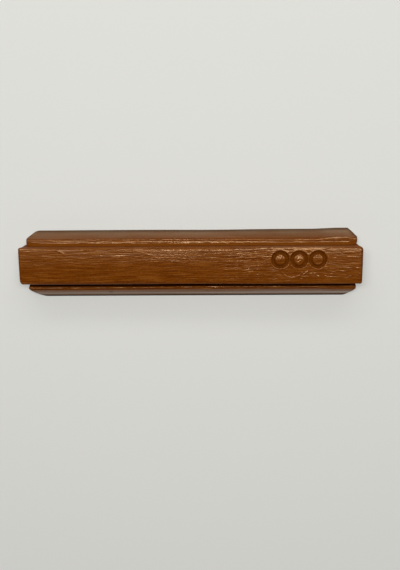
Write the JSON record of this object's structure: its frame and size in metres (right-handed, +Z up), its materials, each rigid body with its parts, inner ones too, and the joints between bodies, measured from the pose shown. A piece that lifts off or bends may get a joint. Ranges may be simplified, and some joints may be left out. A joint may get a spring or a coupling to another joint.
{
  "type": "furniture repair wax stick",
  "caption": "Brown hard-wax bar for filling scratches and dents in furniture: a wrinkled raised bar on a wider bevelled base with cut corners, cast in one piece.",
  "frame": {"origin": "centre of the flat back, which rests on the table", "axes": "+X along the stick, towards the end that carries the three pressed rings; +Y across the stick, away from a viewer in front; +Z up, out of the raised bar"},
  "size_m": [0.08, 0.0162, 0.0072],
  "materials": {
    "wax": "satin"
  },
  "bodies": {
    "root": {"wax_stick": "wax"}
  },
  "joints": []
}
